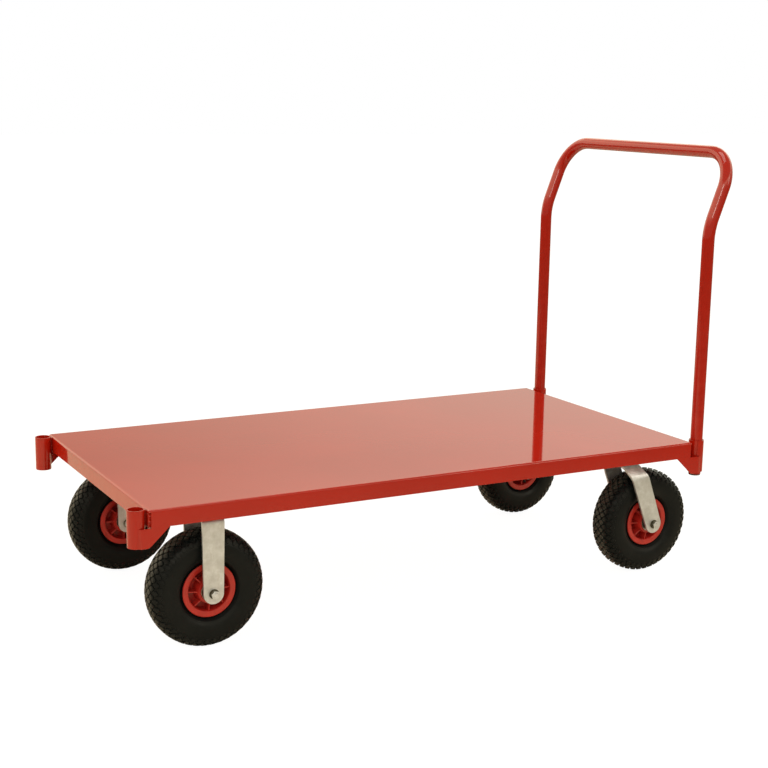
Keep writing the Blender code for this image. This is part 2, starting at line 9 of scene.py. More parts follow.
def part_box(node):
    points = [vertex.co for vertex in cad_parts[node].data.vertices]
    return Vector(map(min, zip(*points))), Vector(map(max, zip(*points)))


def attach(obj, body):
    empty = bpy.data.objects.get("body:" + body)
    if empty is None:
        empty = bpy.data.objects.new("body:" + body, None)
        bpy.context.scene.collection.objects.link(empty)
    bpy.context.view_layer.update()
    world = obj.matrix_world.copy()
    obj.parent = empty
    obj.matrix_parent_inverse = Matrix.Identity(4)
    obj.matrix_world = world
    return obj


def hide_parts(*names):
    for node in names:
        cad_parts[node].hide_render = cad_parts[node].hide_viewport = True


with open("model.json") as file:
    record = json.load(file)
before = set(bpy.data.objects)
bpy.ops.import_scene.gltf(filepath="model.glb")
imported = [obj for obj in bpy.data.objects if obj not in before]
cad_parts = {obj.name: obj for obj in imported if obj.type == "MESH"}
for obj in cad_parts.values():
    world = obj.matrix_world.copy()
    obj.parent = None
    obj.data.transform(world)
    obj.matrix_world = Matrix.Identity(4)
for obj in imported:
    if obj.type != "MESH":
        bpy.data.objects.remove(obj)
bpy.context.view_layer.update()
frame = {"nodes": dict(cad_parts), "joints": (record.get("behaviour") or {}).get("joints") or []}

# The looks of the platform trolley. Every piece is built in the frame's coordinates, in metres: +X to the
# rear, where the handle stands, -Y to the left side, the floor at z = 0. Places come from the CAD nodes'
# boxes and joints; the sizes named here are those of details that the CAD model leaves plain.
JOINTS = {joint["name"]: joint for joint in frame["joints"]}
SIDES = (("left", -1), ("right", 1))
ENDS = (("front", -1), ("rear", 1))
TAGS = [f"{end}_{side}" for end, _ in ENDS for side, _ in SIDES]

# ---- sheet metal --------------------------------------------------------------------------------
RIM_DROP = 0.038              # folded rim, measured from the load surface
FOLD_R = 0.0050               # outer radius of the deck's folds
SHEET = 0.0024
EAR_RUN = 0.045               # the ear's diagonal starts this far in from the deck's end
EAR_ROUND = 0.10              # share of the run over which the diagonal eases into the ear's lower edge
ROLL_START = 29.0             # degrees short of the ring's outermost point at which the ring's seam stands
ROLL_STEP = 7.25
ROLL_WRAP = 358.8             # degrees that the ring goes round from its seam
CORNER_BEAD = (0.0050, 0.0092, 0.0052)  # a corner weld's place, inwards along X and Y, and its radius
GUSSET_IN = 0.008             # from the deck's end to the web in the corner

# ---- handle -------------------------------------------------------------------------------------
HANDLE_R = 0.015
HANDLE_BEND_Z = 0.859
HANDLE_BEND_R = 0.165
HANDLE_CORNER_R = 0.088
CLAMP_FLATS = 0.013
CLAMP_WASHER = 0.0012

# ---- tyre and rim -------------------------------------------------------------------------------
LUG_HEIGHT = 0.0034
LUGS_AROUND = 42
LUG_COLUMN = 0.0098           # between neighbouring staggered columns, along the tread's curve
LUG_SHARE = 0.80              # a lug's size as a share of its diamond cell
TYRE_HALF_WIDTH = 0.0394
TYRE_MIDDLE_R = 0.092         # where the tyre is widest
TYRE_LOWER_RISE = 0.034
TYRE_POWER = 2.5              # of the section's superellipse
TREAD_HIGHLIGHT = (0.1262, 0.1294)  # radii between which the rubber turns from black to a lighter grey on the lug tops: a painted highlight
RING_WAVES = 2400.0           # radians in a metre of radius, of the fine moulded rings
FLANGE_R = 0.060
RIM_HALF = 0.031
HUB_R = 0.0275
HUB_HALF = 0.0375
RIB_COUNT = 8

# ---- casters ------------------------------------------------------------------------------------
FORK_SHEET = 0.005
SHOULDER_Z = 0.255
RAKE_RUN = 0.048
CROWN_HALF = 0.036
FOOT_TAPER = 0.0024           # a fork's half width shrinks by this much towards its round foot
FOOT_TAPER_RUN = 0.150
BOLT_SPACING = (0.105, 0.080)
AXLE_FLATS = 0.017            # across the flats of the axle's head and nut
WASHER = 0.0022
M8_PITCH, M12_PITCH, KINGPIN_PITCH = 0.00125, 0.00175, 0.00150
PLATE_CORNER_R = 0.012
PLATE_FLATS = 0.015           # across the flats of the plates' bolts and nuts
PLATE_WASHER = (0.0045, 0.0098, 0.0014)  # bore radius, radius and height


# ---- mesh helpers -------------------------------------------------------------------------------
def round_corners(points, radii, steps=4, closed=False):
    """The polyline with an arc at each corner. A radius of 0 keeps a corner as it is."""
    count = len(points)
    if not hasattr(radii, "__len__"):
        radii = [radii] * count
    path = []
    for i, radius in enumerate(radii):
        corner = Vector(points[i])
        if radius == 0 or (not closed and i in (0, count - 1)):
            path.append(corner)
            continue
        back = Vector(points[i - 1]) - corner
        ahead = Vector(points[(i + 1) % count]) - corner
        half = back.angle(ahead) / 2
        if half > math.radians(89.0):
            path.append(corner)
            continue
        reach = min(radius / math.tan(half), 0.49 * back.length, 0.49 * ahead.length)
        back.normalize()
        ahead.normalize()
        middle = corner + (back + ahead).normalized() * reach / math.cos(half)
        first, last = corner + back * reach - middle, corner + ahead * reach - middle
        swing = first.angle(last)
        for step in range(steps + 1):
            share = step / steps
            arm = first * math.sin((1 - share) * swing) + last * math.sin(share * swing)
            path.append(middle + arm / math.sin(swing))
    return path


def shift(x, y, z):
    return Matrix.Translation((x, y, z))


def turned(axis, degrees):
    return Matrix.Rotation(math.radians(degrees), 4, axis)


def ring_of(bm, points, matrix=Matrix()):
    return [bm.verts.new(matrix @ Vector(point)) for point in points]


def bridge(bm, first, second):
    """Join two closed rings of the same length, or a ring and a single point."""
    count = max(len(first), len(second))
    for i in range(count):
        j = (i + 1) % count
        corners = [ring[k % len(ring)] for ring, k in ((first, i), (first, j), (second, j), (second, i))]
        corners = list(dict.fromkeys(corners))
        if len(corners) > 2:
            bm.faces.new(corners)


def lathe(bm, profile, steps, closed=True, matrix=Matrix()):
    """Turn a profile of (radius, height) round Z. An open profile starts and ends on the axis."""
    rings = []
    for radius, height in profile:
        if radius < 1e-6:
            rings.append(ring_of(bm, [(0.0, 0.0, height)], matrix))
            continue
        angles = [math.tau * i / steps for i in range(steps)]
        circle = [(radius * math.cos(a), radius * math.sin(a), height) for a in angles]
        rings.append(ring_of(bm, circle, matrix))
    for first, second in zip(rings, rings[1:] + (rings[:1] if closed else [])):
        bridge(bm, first, second)


def sweep(bm, path, radius, sides, caps=True):
    """A round tube along a path, with its rings turned no more than the path bends."""
    rings = []
    normal = Vector((0.0, 1.0, 0.0))
    for i, point in enumerate(path):
        along = (path[min(i + 1, len(path) - 1)] - path[max(i - 1, 0)]).normalized()
        normal = (normal - along * normal.dot(along)).normalized()
        side = along.cross(normal)
        size = radius[i] if hasattr(radius, "__len__") else radius
        angles = [math.tau * k / sides for k in range(sides)]
        circle = [point + (normal * math.cos(a) + side * math.sin(a)) * size for a in angles]
        rings.append(ring_of(bm, circle))
    for first, second in zip(rings, rings[1:]):
        bridge(bm, first, second)
    if caps:
        bm.faces.new(rings[0])
        bm.faces.new(rings[-1])


def prism(bm, outline, low, high, matrix=Matrix()):
    """A closed prism on an outline of (x, y)."""
    rings = [ring_of(bm, [(x, y, z) for x, y in outline], matrix) for z in (low, high)]
    bridge(bm, *rings)
    for ring in rings:
        bm.faces.new(ring)


def hexagon(bm, flats, height, bore=0.0, both=False, matrix=Matrix()):
    """A hexagonal head or nut standing on z = 0, with its corners chamfered by a cone."""
    steps, inner = 36, flats / 2
    angles = [math.tau * i / steps for i in range(steps)]
    radii = [inner / math.cos((a + math.pi / 6) % (math.pi / 3) - math.pi / 6) for a in angles]
    fall = [(r - inner) * math.tan(math.radians(30.0)) for r in radii]

    def ring(sizes, heights):
        points = [(r * math.cos(a), r * math.sin(a), z) for r, a, z in zip(sizes, angles, heights)]
        return ring_of(bm, points, matrix)

    flat = [inner * 0.96] * steps
    rings = [ring(flat, [0.0] * steps)] if both else []
    rings.append(ring(radii, fall if both else [0.0] * steps))
    rings.append(ring(radii, [height - drop for drop in fall]))
    rings.append(ring(flat, [height] * steps))
    if bore:
        rings += [ring([bore] * steps, [height] * steps), ring([bore] * steps, [0.0] * steps)]
        rings.append(rings[0])
    for first, second in zip(rings, rings[1:]):
        bridge(bm, first, second)
    if not bore:
        bm.faces.new(rings[0])
        bm.faces.new(rings[-1])


def washer(bm, bore, radius, height, matrix=Matrix()):
    section = [(radius, height), (radius, 0.0), (bore, 0.0), (bore, height)]
    lathe(bm, round_corners(section, 0.0003, 2, True), 32, True, matrix)


def threaded(bm, radius, low, high, pitch, matrix=Matrix()):
    """A bolt's end with its thread as rings, and a chamfered tip at height high."""
    profile = [(0.0, low), (radius, low)]
    turns = int((high - low) / pitch)
    for i in range(turns):
        profile += [(radius, low + (i + 0.25) * pitch), (radius * 0.88, low + (i + 0.75) * pitch)]
    profile += [(radius * 0.84, high), (0.0, high)]
    lathe(bm, profile, 24, False, matrix)


class Sheet:
    """A bent sheet, put together from grids of points; points in the same place are one vertex."""

    def __init__(self):
        self.bm = bmesh.new()
        self.known = {}

    def vert(self, point):
        key = tuple(round(value, 6) for value in point)
        if key not in self.known:
            self.known[key] = self.bm.verts.new(point)
        return self.known[key]

    def grid(self, rows):
        for first, second in zip(rows, rows[1:]):
            for i in range(len(first) - 1):
                corners = [self.vert(p) for p in (first[i], first[i + 1], second[i + 1], second[i])]
                corners = list(dict.fromkeys(corners))
                if len(corners) > 2:
                    self.bm.faces.new(corners)

    def face_out(self, towards):
        """Turn the faces so that the outermost one in the given direction looks along it."""
        bmesh.ops.recalc_face_normals(self.bm, faces=self.bm.faces)
        towards = Vector(towards)
        last = max(self.bm.faces, key=lambda face: face.calc_center_median().dot(towards))
        if last.normal.dot(towards) < 0:
            bmesh.ops.reverse_faces(self.bm, faces=self.bm.faces)
        return self.bm


def thicken(bm, thickness, edge):
    """Give an open sheet its thickness, inwards, and a small round on its cut edges."""
    mesh = bpy.data.meshes.new("sheet")
    bm.to_mesh(mesh)
    bm.free()
    obj = bpy.data.objects.new("sheet", mesh)
    bpy.context.scene.collection.objects.link(obj)
    solid = obj.modifiers.new("solid", "SOLIDIFY")
    solid.thickness = thickness
    solid.offset = -1.0
    solid.use_even_offset = True
    round_off(obj, edge)
    bpy.context.view_layer.update()
    made = bmesh.new()
    made.from_mesh(obj.evaluated_get(bpy.context.evaluated_depsgraph_get()).to_mesh())
    bpy.data.objects.remove(obj)
    bpy.data.meshes.remove(mesh)
    return made


def round_off(obj, width, segments=2):
    bevel = obj.modifiers.new("round", "BEVEL")
    bevel.width = width
    bevel.segments = segments
    bevel.limit_method = "ANGLE"
    bevel.angle_limit = math.radians(40.0)
    bevel.use_clamp_overlap = True


def smooth_mesh(name, bm, sharp, tidy=True):
    """The finished mesh, smooth but for the edges above an angle of sharp degrees."""
    if tidy:
        bmesh.ops.recalc_face_normals(bm, faces=bm.faces)
    mesh = bpy.data.meshes.new(name)
    bm.to_mesh(mesh)
    bm.free()
    mesh.shade_smooth()
    mesh.set_sharp_from_angle(angle=math.radians(sharp))
    return mesh


def piece(name, bm, material, body, replaces=(), bevel=0.0, tidy=True):
    """Finish a mesh as a piece of the trolley that rides on a body."""
    show(name, smooth_mesh(name, bm, 40.0, tidy), material, body, replaces, bevel)


def show(name, mesh, material, body, replaces=(), bevel=0.0, place=None):
    """Put a mesh in the scene as a piece. The first piece that shows a shared mesh gives it its material."""
    obj = bpy.data.objects.new(name, mesh)
    bpy.context.scene.collection.objects.link(obj)
    if place:
        obj.matrix_world = place
        bpy.context.view_layer.update()
    if not mesh.materials:
        for entry in material if isinstance(material, tuple) else (material,):
            mesh.materials.append(entry)
    if bevel:
        round_off(obj, bevel)
    normals = obj.modifiers.new("normals", "WEIGHTED_NORMAL")
    normals.keep_sharp = True
    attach(obj, body)
    if replaces:
        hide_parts(*replaces)


def middle(node):
    low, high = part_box(node)
    return (low + high) / 2


# ---- materials ----------------------------------------------------------------------------------
class Nodes:
    """Short ways to add shader nodes to a tree. An input is a value or another node's output."""

    def __init__(self, tree):
        self.tree = tree

    def node(self, kind, inputs=None, **settings):
        made = self.tree.nodes.new(kind)
        for key, value in settings.items():
            setattr(made, key, value)
        for key, value in (inputs or {}).items():
            if isinstance(value, bpy.types.NodeSocket):
                self.tree.links.new(value, made.inputs[key])
            else:
                made.inputs[key].default_value = value
        return made

    def spread(self, value, low, high, to_low=0.0, to_high=1.0):
        inputs = {"Value": value, "From Min": low, "From Max": high, "To Min": to_low, "To Max": to_high}
        return self.node("ShaderNodeMapRange", inputs).outputs["Result"]

    def math(self, operation, first, second=0.0):
        return self.node("ShaderNodeMath", {0: first, 1: second}, operation=operation).outputs[0]

    def vector(self, operation, first, second):
        return self.node("ShaderNodeVectorMath", {0: first, 1: second}, operation=operation).outputs

    def blend(self, share, first, second):
        return self.node("ShaderNodeMix", {0: share, 6: first, 7: second}, data_type="RGBA").outputs[2]


class Finish(Nodes):
    """A Principled material; the methods add procedural detail in the object's own coordinates."""

    def __init__(self, name, color, roughness, metallic=0.0, **sockets):
        self.material = bpy.data.materials.new(name)
        self.material.use_nodes = True
        super().__init__(self.material.node_tree)
        self.shader = self.tree.nodes["Principled BSDF"]
        self.place = self.node("ShaderNodeTexCoord").outputs["Object"]
        values = {"Base Color": (*color, 1.0), "Roughness": roughness, "Metallic": metallic}
        values.update({key.replace("_", " "): value for key, value in sockets.items()})
        for key, value in values.items():
            self.shader.inputs[key].default_value = value

    def stretched(self, scale):
        return self.node("ShaderNodeMapping", {"Vector": self.place, "Scale": scale}).outputs["Vector"]

    def noise(self, scale, detail=3.0, rough=0.55, vector=None):
        inputs = {"Vector": vector or self.place, "Scale": scale, "Detail": detail, "Roughness": rough}
        return self.node("ShaderNodeTexNoise", inputs).outputs["Fac"]

    def cells(self, scale):
        return self.node("ShaderNodeTexVoronoi", {"Vector": self.place, "Scale": scale}).outputs["Color"]

    def color(self, value):
        self.tree.links.new(value, self.shader.inputs["Base Color"])

    def roughness(self, value):
        self.tree.links.new(value, self.shader.inputs["Roughness"])

    def bump(self, *layers):
        """Layers of (height, strength, distance), the first one underneath."""
        normal = None
        for height, strength, distance in layers:
            inputs = {"Height": height, "Strength": strength, "Distance": distance}
            if normal:
                inputs["Normal"] = normal
            normal = self.node("ShaderNodeBump", inputs).outputs["Normal"]
        self.tree.links.new(normal, self.shader.inputs["Normal"])


def shade(color, factor):
    return (*[channel * factor for channel in color], 1.0)


def red_paint():
    red = (0.385, 0.0100, 0.0031)
    paint = Finish("red_paint", red, 0.05, IOR=1.47)
    cloud = paint.noise(2.2, 3.0)
    speck = paint.noise(900.0, 2.0)
    edge = paint.node("ShaderNodeNewGeometry").outputs["Pointiness"]
    body = paint.blend(paint.spread(cloud, 0.35, 0.65), shade(red, 0.93), shade(red, 1.06))
    body = paint.blend(paint.spread(speck, 0.60, 0.75, 0.0, 0.22), body, shade(red, 0.78))
    # Convex edges, found by pointiness and broken into patches, turn a lighter red: a painted highlight
    # along the edges.
    patches = paint.spread(paint.noise(45.0, 5.0), 0.42, 0.62)
    painted_highlight = paint.math("MULTIPLY", paint.spread(edge, 0.53, 0.62), patches)
    body = paint.blend(paint.math("MULTIPLY", painted_highlight, 0.35), body, (0.62, 0.06, 0.04, 1.0))
    paint.color(body)
    scuffs = paint.noise(26.0, 6.0, 0.7, paint.stretched((0.35, 3.0, 1.0)))
    dull = paint.spread(scuffs, 0.56, 0.74, 0.0, 0.05)
    paint.roughness(paint.math("ADD", paint.spread(cloud, 0.3, 0.7, 0.035, 0.055), dull))
    paint.bump((paint.noise(5.0, 2.0), 0.03, 0.002), (paint.noise(320.0, 2.0), 0.03, 0.0002))
    return paint.material


def red_plastic():
    red = (0.42, 0.018, 0.014)
    plastic = Finish("red_plastic", red, 0.36, IOR=1.49)
    flow = plastic.noise(38.0, 3.0)
    body = plastic.blend(plastic.spread(flow, 0.35, 0.68), shade(red, 0.86), shade(red, 1.08))
    dust = plastic.spread(plastic.noise(90.0, 6.0, 0.7), 0.55, 0.80, 0.0, 0.12)
    plastic.color(plastic.blend(dust, body, (0.42, 0.16, 0.12, 1.0)))
    plastic.roughness(plastic.spread(flow, 0.3, 0.7, 0.30, 0.44))
    plastic.bump((plastic.noise(60.0, 2.0), 0.10, 0.001), (plastic.noise(1400.0, 2.0), 0.18, 0.0002))
    return plastic.material


def tyre_rubber():
    black = (0.0046, 0.0062, 0.0072)
    rubber = Finish("tyre_rubber", black, 0.38, Specular_IOR_Level=0.13)
    axes = rubber.node("ShaderNodeSeparateXYZ", {"Vector": rubber.place}).outputs
    squares = [rubber.math("POWER", axes[axis], 2.0) for axis in "XY"]
    reach = rubber.math("SQRT", rubber.math("ADD", *squares))
    # The lug tops, broken up by noise, turn a lighter grey: a painted highlight on the tread.
    painted_highlight = rubber.spread(reach, *TREAD_HIGHLIGHT)
    cloud = rubber.noise(30.0, 5.0, 0.65)
    grime = rubber.spread(cloud, 0.46, 0.70, 0.0, 0.45)
    body = rubber.blend(grime, (*black, 1.0), (0.0090, 0.0112, 0.0122, 1.0))
    lug_top_highlight = rubber.math("MULTIPLY", painted_highlight, rubber.spread(rubber.noise(160.0, 4.0), 0.35, 0.65, 0.25, 0.9))
    rubber.color(rubber.blend(lug_top_highlight, body, (0.074, 0.076, 0.070, 1.0)))
    rubber.roughness(rubber.spread(cloud, 0.35, 0.70, 0.30, 0.46))
    rings = rubber.math("SINE", rubber.math("MULTIPLY", reach, RING_WAVES))
    rubber.bump((rings, 0.05, 0.0003), (rubber.noise(900.0, 3.0), 0.30, 0.0003))
    return rubber.material


def zinc_plate():
    grey = (0.64, 0.675, 0.74)
    zinc = Finish("zinc_plate", grey, 0.42, 0.72)
    blotch = zinc.noise(42.0, 5.0, 0.6)
    grain = zinc.noise(140.0, 4.0, 0.7, zinc.stretched((2.2, 2.2, 0.25)))
    spangle = zinc.node("ShaderNodeSeparateColor", {"Color": zinc.cells(150.0)}).outputs["Red"]
    body = zinc.blend(zinc.spread(blotch, 0.36, 0.64), shade(grey, 0.80), shade(grey, 1.10))
    body = zinc.blend(zinc.spread(spangle, 0.0, 1.0, 0.0, 0.35), body, (0.54, 0.58, 0.60, 1.0))
    body = zinc.blend(zinc.spread(grain, 0.58, 0.72, 0.0, 0.35), body, (0.42, 0.40, 0.36, 1.0))
    zinc.color(body)
    zinc.roughness(zinc.math("ADD", zinc.spread(blotch, 0.3, 0.7, 0.34, 0.50),
                             zinc.spread(spangle, 0.0, 1.0, -0.03, 0.05)))
    zinc.bump((blotch, 0.10, 0.0008), (zinc.noise(600.0, 3.0, 0.6), 0.14, 0.0003))
    return zinc.material


def mottled(name, color, roughness, metallic, cloud, share, tones, gloss, grain):
    """A material whose colour and roughness follow one soft cloud, with a fine grain of noise and bump."""
    finish = Finish(name, color, roughness, metallic)
    cloud = finish.noise(cloud, 4.0)
    dark, pale = [(*tone, 1.0) for tone in tones]
    finish.color(finish.blend(finish.spread(cloud, *share), dark, pale))
    finish.roughness(finish.spread(cloud, 0.3, 0.7, *gloss))
    scale, detail, strength, distance = grain
    finish.bump((finish.noise(scale, detail), strength, distance))
    return finish.material


PAINT = red_paint()
PLASTIC = red_plastic()
RUBBER = tyre_rubber()
TUBE = mottled("tube_rubber", (0.02, 0.02, 0.02), 0.6, 0.0, 60.0, (0.0, 1.0),
               ((0.014, 0.014, 0.014), (0.028, 0.027, 0.026)), (0.5, 0.7), (700.0, 3.0, 0.2, 0.0003))
ZINC = zinc_plate()
# A darker zinc, used only at the axles for the nut's sides, the washers and the spacer sleeve: painted
# shade.
PAINTED_SHADE_ZINC = mottled("zinc_painted_shade", (0.13, 0.125, 0.10), 0.38, 0.85, 120.0, (0.38, 0.66),
                ((0.09, 0.085, 0.065), (0.20, 0.19, 0.15)), (0.30, 0.48), (900.0, 3.0, 0.12, 0.0002))
STEEL = mottled("bearing_steel", (0.56, 0.56, 0.55), 0.24, 1.0, 110.0, (0.4, 0.7),
                ((0.58, 0.58, 0.57), (0.40, 0.38, 0.33)), (0.18, 0.34), (1200.0, 2.0, 0.06, 0.0002))
BLACK = mottled("black_plastic", (0.02, 0.02, 0.02), 0.5, 0.0, 120.0, (0.0, 1.0),
                ((0.013, 0.013, 0.013), (0.030, 0.029, 0.028)), (0.42, 0.60), (1500.0, 2.0, 0.2, 0.0002))


# ---- deck ---------------------------------------------------------------------------------------
def deck_frame():
    """The deck's centre, half length and half width at the load surface, from the CAD plate's top."""
    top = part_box("deck_plate")[1].z
    corners = [v.co for v in frame["nodes"]["deck_plate"].data.vertices if v.co.z > top - 1e-4]
    low_x, high_x = min(c.x for c in corners), max(c.x for c in corners)
    return (low_x + high_x) / 2, (high_x - low_x) / 2, max(c.y for c in corners)


DECK_X, DECK_HALF_X, DECK_HALF_Y = deck_frame()
DECK_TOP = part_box("deck_plate")[1].z
RIM_Z = DECK_TOP - RIM_DROP
EAR_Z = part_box("deck_plate")[0].z


def ear_edge(run):
    """Height of the lower edge at a distance past the start of the ear's diagonal, rounded at its foot."""
    share = run / EAR_RUN
    if share > 1 - EAR_ROUND:
        over = min(share, 1 + EAR_ROUND) - (1 - EAR_ROUND)
        share = 1 - EAR_ROUND + over - over * over / (4 * EAR_ROUND)
    return RIM_Z + (EAR_Z - RIM_Z) * share


def ear_plan(end, side):
    """The ear in plan, as (run past the deck's end, inset from the side plane): flat part, then roll."""
    socket = middle(f"corner_socket_{end}_{side}")
    low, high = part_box(f"corner_socket_{end}_{side}")
    radius = (high.x - low.x) / 2
    reach = abs(socket.x - DECK_X) - DECK_HALF_X
    inset = DECK_HALF_Y - abs(socket.y)
    roll = []
    for i in range(math.ceil(ROLL_WRAP / ROLL_STEP) + 1):
        angle = math.radians(min(ROLL_STEP * i, ROLL_WRAP) - ROLL_START)
        roll.append((reach + radius * math.sin(angle), inset - radius * math.cos(angle)))
    flat = [((reach + FOLD_R) * k / 6 - FOLD_R, 0.0) for k in range(1, 6)]
    return flat, roll


def make_deck_shell():
    """The deck as one bent sheet: top, folded rims, ears, and each ear's end rolled into a socket."""
    sheet = Sheet()
    in_x, in_y = DECK_HALF_X - FOLD_R, DECK_HALF_Y - FOLD_R
    arc = [math.radians(90.0 * i / 6) for i in range(7)]
    fold = [(FOLD_R * math.sin(a), DECK_TOP - FOLD_R + FOLD_R * math.cos(a)) for a in arc]
    run = [EAR_RUN * share for share in (0.0, 0.2, 0.4, 0.6, 0.8)] + [EAR_RUN - FOLD_R]
    half_columns = [0.0, 0.2, 0.4, 0.6] + [DECK_HALF_X - EAR_RUN + r for r in run]
    columns = sorted({-x for x in half_columns} | set(half_columns))
    wall_rows = [DECK_TOP - FOLD_R, DECK_TOP - 0.02, RIM_Z]

    sheet.grid([[(DECK_X + x, y, DECK_TOP) for y in (-in_y, in_y)] for x in columns])
    for sx in (-1, 1):
        sheet.grid([[(DECK_X + sx * (in_x + out), y, z) for out, z in fold] for y in (-in_y, in_y)])
        wall = (DECK_TOP - FOLD_R, RIM_Z)
        sheet.grid([[(DECK_X + sx * DECK_HALF_X, y, z) for z in wall] for y in (-in_y, in_y)])
    for sy in (-1, 1):
        sheet.grid([[(DECK_X + x, sy * (in_y + out), z) for out, z in fold] for x in columns])
        sheet.grid([[(DECK_X + x, sy * DECK_HALF_Y, z) for z in wall_rows] for x in columns])
        for sx in (-1, 1):
            sheet.grid([[(DECK_X + sx * (in_x + out * math.sin(b)), sy * (in_y + out * math.cos(b)), z)
                         for out, z in fold] for b in arc])
    for end, sx in ENDS:
        for side, sy in SIDES:
            flat, roll = ear_plan(end, side)
            wrap = roll[round(ROLL_START / ROLL_STEP):]
            rows = []
            for u, v in [(r - EAR_RUN, 0.0) for r in run] + flat + wrap:
                low = ear_edge(EAR_RUN + u) if (u, v) not in wrap else EAR_Z
                heights = [RIM_Z + (low - RIM_Z) * k / 6 for k in range(7)]
                rows.append([(DECK_X + sx * (DECK_HALF_X + u), sy * (DECK_HALF_Y - v), z) for z in heights])
            sheet.grid(rows)
            mouth = [DECK_TOP + (RIM_Z - DECK_TOP) * k / 4 for k in range(5)]
            sheet.grid([[(DECK_X + sx * (DECK_HALF_X + u), sy * (DECK_HALF_Y - v), z) for z in mouth]
                        for u, v in roll])
    bm = thicken(sheet.face_out((0, 0, 1)), SHEET, 0.0006)
    nodes = ["deck_plate"] + [f"corner_socket_{end}_{side}" for end, _ in ENDS for side, _ in SIDES]
    piece("deck_shell", bm, PAINT, "frame", nodes, tidy=False)


def make_channel(node, sheet_thickness, bend_r):
    """A cross channel bent from sheet, open towards the deck."""
    low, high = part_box(node)
    section = round_corners([(low.x, high.z), (low.x, low.z), (high.x, low.z), (high.x, high.z)],
                            [0, bend_r, bend_r, 0], 5)
    sheet = Sheet()
    spans = [low.y + (high.y - low.y) * k / 6 for k in range(7)]
    sheet.grid([[(p[0], y, p[1]) for p in section] for y in spans])
    bm = thicken(sheet.face_out((0, 0, -1)), sheet_thickness, 0.0005)
    piece(f"{node}_shell", bm, PAINT, "frame", [node], tidy=False)


def bead(bm, start, end, radius=0.0022, ripple=0.0022):
    """A weld bead between two points: a tube with one ripple for each dab of the torch."""
    start, end = Vector(start), Vector(end)
    length = (end - start).length
    steps = max(8, int(length / ripple * 3))
    path = [start.lerp(end, i / steps) for i in range(steps + 1)]
    sizes = []
    for i in range(steps + 1):
        taper = min(1.0, 0.35 + min(i, steps - i) * 0.3)
        sizes.append(radius * taper * (1 + 0.12 * math.cos(math.tau * i / 3) + 0.06 * math.sin(i * 1.7)))
    sweep(bm, path, sizes, 8)


# Stands a prism's outline up in the frame's YZ plane, with the prism's own height along X.
STAND_UP = Matrix(((0.0, 0.0, 1.0, 0.0), (1.0, 0.0, 0.0, 0.0), (0.0, 1.0, 0.0, 0.0), (0.0, 0.0, 0.0, 1.0)))


def make_corner_welds(bm, end, side, sx, sy):
    """A corner's thick bead and small web behind the relief slot, and in front a bead along the socket."""
    low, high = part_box(f"corner_socket_{end}_{side}")
    if end == "front":
        x = (high.x + DECK_X - DECK_HALF_X) / 2
        y = (low.y + high.y) / 2
        bead(bm, (x, y, DECK_TOP - 0.004), (x, y, RIM_Z + 0.001), 0.0026)
    in_x, in_y, radius = CORNER_BEAD
    x, y = DECK_X + sx * (DECK_HALF_X - in_x), sy * (DECK_HALF_Y - in_y)
    bead(bm, (x, y, RIM_Z - 0.001), (x, y, DECK_TOP - 0.006), radius)
    x, y = DECK_X + sx * (DECK_HALF_X - GUSSET_IN), sy * DECK_HALF_Y
    gusset = [(y - sy * SHEET, RIM_Z + 0.002), (y - sy * 0.042, RIM_Z + 0.002),
              (y - sy * 0.040, RIM_Z - 0.001), (y - sy * SHEET, RIM_Z - 0.018)]
    prism(bm, gusset, -SHEET / 2, SHEET / 2, shift(x, 0.0, 0.0) @ STAND_UP)


def make_welds():
    """The corners' welds, and beads along the cross channels and stiffeners under the deck."""
    bm = bmesh.new()
    for end, sx in ENDS:
        for side, sy in SIDES:
            make_corner_welds(bm, end, side, sx, sy)
    inner_y = DECK_HALF_Y - SHEET
    under = DECK_TOP - SHEET - 0.0005
    for node in ("cross_channel_front", "cross_channel_rear", "deck_stiffener_1", "deck_stiffener_2"):
        low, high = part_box(node)
        for x in (low.x, high.x):
            for sy in (-1, 1):
                y = sy * (inner_y - 0.001)
                bead(bm, (x, y, low.z + 0.004), (x, y, high.z - 0.006))
            for k in range(-2, 3):
                y = k * 0.14
                bead(bm, (x, y - 0.02, under), (x, y + 0.02, under))
        for sy in (-1, 1):
            y = sy * (inner_y - 0.0015)
            bead(bm, (low.x + 0.01, y, low.z + 0.001), (high.x - 0.01, y, low.z + 0.001), 0.0018)
    piece("weld_beads", bm, PAINT, "frame")


# ---- handle -------------------------------------------------------------------------------------
def make_handle():
    low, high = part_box("push_handle")
    leg_x, top_x = low.x + HANDLE_R, high.x - HANDLE_R
    leg_y, top_z = high.y - HANDLE_R, high.z - HANDLE_R
    left = [(leg_x, -leg_y, low.z), (leg_x, -leg_y, HANDLE_BEND_Z), (top_x, -leg_y, top_z)]
    right = [(x, -y, z) for x, y, z in reversed(left)]
    radii = [0, HANDLE_BEND_R, HANDLE_CORNER_R, HANDLE_CORNER_R, HANDLE_BEND_R, 0]
    bm = bmesh.new()
    sweep(bm, round_corners(left + right, radii, 20), HANDLE_R, 48, caps=False)
    ends = [edge for edge in bm.edges if edge.is_boundary]
    for ring in bmesh.ops.holes_fill(bm, edges=ends)["faces"]:
        bmesh.ops.inset_individual(bm, faces=[ring], thickness=0.0018)
    piece("handle_tube", bm, PAINT, "handle", ["push_handle"])
    for side, _ in SIDES:
        node = f"handle_plug_{side}"
        low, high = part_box(node)
        spot = middle(node)
        radius, base = (high.x - low.x) / 2, low.z
        rim = [(0.0, base), (radius - 0.0006, base), (radius - 0.0006, base + 0.003), (0.0128, base + 0.003),
               (0.0128, high.z), (0.0, high.z)]
        bm = bmesh.new()
        profile = round_corners(rim, [0, 0.0012, 0.0004, 0, 0.0006, 0], 4)
        lathe(bm, profile, 40, False, shift(spot.x, spot.y, 0.0))
        piece(f"foot_plug_{side}", bm, BLACK, "handle", [node])


